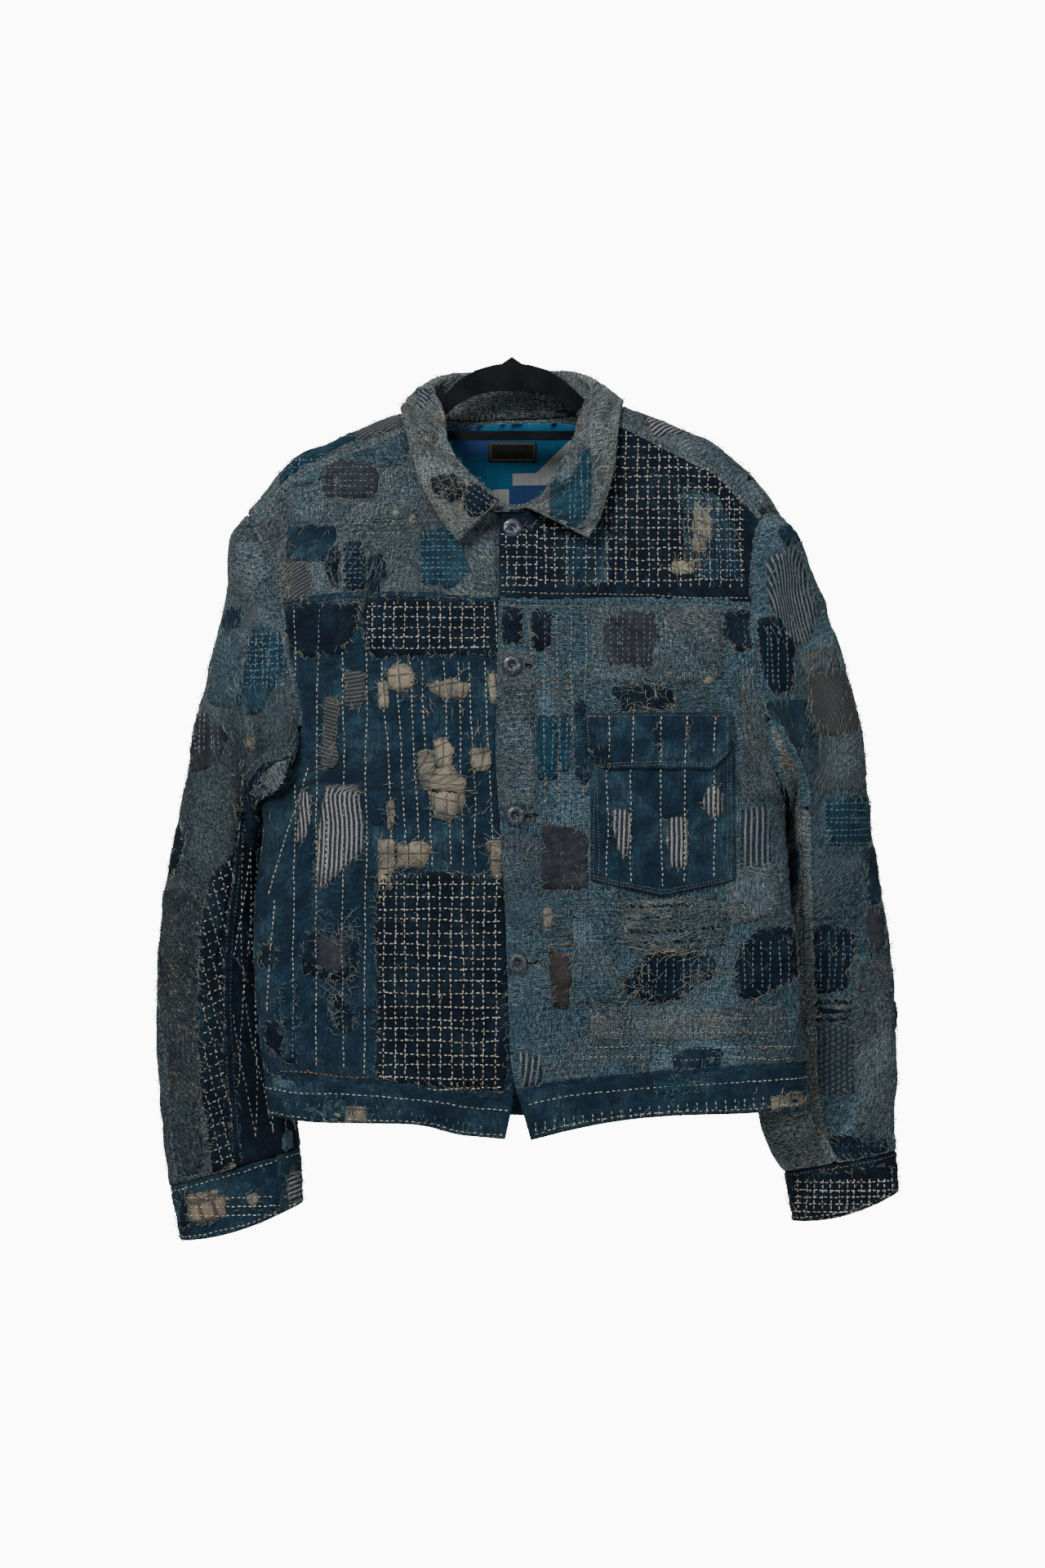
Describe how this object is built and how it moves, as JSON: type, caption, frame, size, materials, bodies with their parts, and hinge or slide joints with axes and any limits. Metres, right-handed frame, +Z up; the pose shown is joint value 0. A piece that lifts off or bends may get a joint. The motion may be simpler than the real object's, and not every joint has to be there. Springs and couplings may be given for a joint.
{
  "type": "patched work jacket on a slim clothes hanger",
  "caption": "Worn indigo patchwork work jacket with a fold-down collar, front yokes, flapped chest pocket and waistband, hanging buttoned on a slim flocked hanger.",
  "frame": {"origin": "top of the hanger's neck, where its hook would rise", "axes": "+X to the right as the jacket is seen from its front, +Y from the front to the back, +Z up"},
  "size_m": [0.6547, 0.1567, 0.7713],
  "materials": {
    "boro": "worn grey-blue patched cotton",
    "indigo": "dark indigo stitched cotton",
    "lining": "plain woven cotton",
    "tab": "plain woven tab",
    "metal": "dull dark metal",
    "flock": "black flocked"
  },
  "bodies": {
    "root": {"front_left": "boro", "yoke_front_right": "boro", "back_yoke": "boro", "back": "boro", "sleeve_upper_left": "boro", "sleeve_upper_right": "boro", "collar": "boro", "front_right": "indigo", "yoke_front_left": "indigo", "waistband": "indigo", "sleeve_under_left": "indigo", "sleeve_under_right": "indigo", "cuff_left": "indigo", "cuff_right": "indigo", "pocket": "indigo", "pocket_flap": "indigo", "back_lining": "lining", "neck_tab": "tab", "button_1": "metal", "button_2": "metal", "button_3": "metal", "button_4": "metal", "hanger_arms": "flock", "hanger_bar": "flock"}
  },
  "joints": []
}
